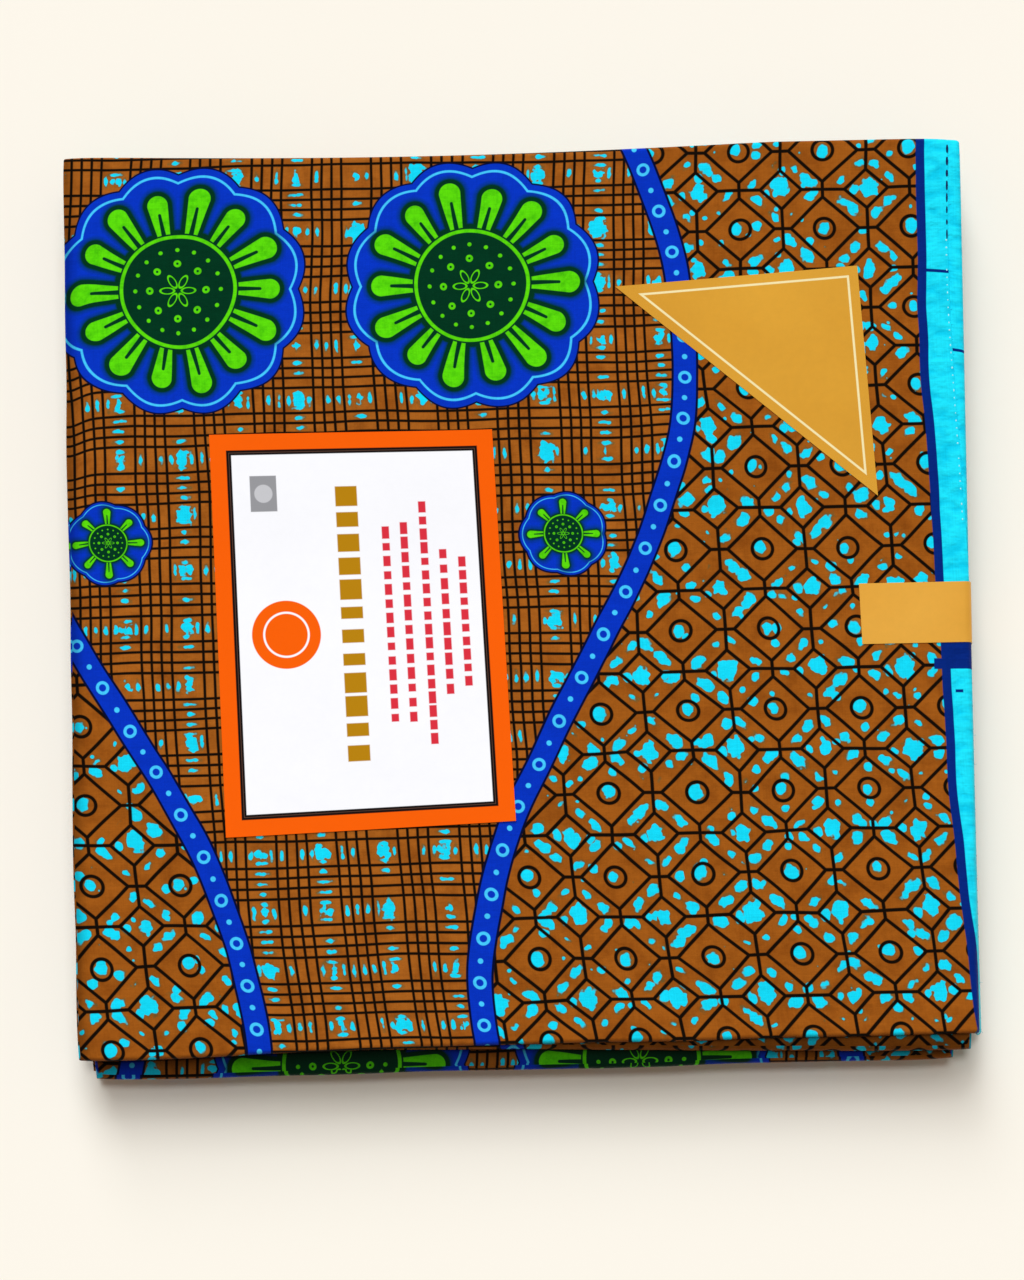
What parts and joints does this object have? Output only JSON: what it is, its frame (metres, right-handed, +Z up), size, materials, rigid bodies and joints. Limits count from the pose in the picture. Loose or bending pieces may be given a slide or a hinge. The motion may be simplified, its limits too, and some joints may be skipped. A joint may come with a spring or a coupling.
{
  "type": "folded wax print cloth",
  "caption": "Length of printed cotton folded into a flat square pile with rounded fold edges, a hanging selvedge, and a plain label, seal and edge tape on it.",
  "frame": {"origin": "centre of the bounding box on the underside, where the folded cloth rests", "axes": "+X to the right along the front edge, towards the selvedge; +Y away from the front; +Z up"},
  "size_m": [0.3076, 0.3158, 0.0272],
  "materials": {
    "wax_cotton": "plain-woven cotton, printed in brown, turquoise, blue and green, with a light waxy sheen",
    "label_paper": "coated white paper with an orange border and a thin dark frame",
    "gold_paper": "gold paper, half gloss"
  },
  "bodies": {
    "root": {"top_panel": "wax_cotton", "second_fold": "wax_cotton", "third_fold": "wax_cotton", "folded_layers": "wax_cotton", "paper_label": "label_paper", "corner_seal": "gold_paper", "edge_tape": "gold_paper"}
  },
  "joints": []
}
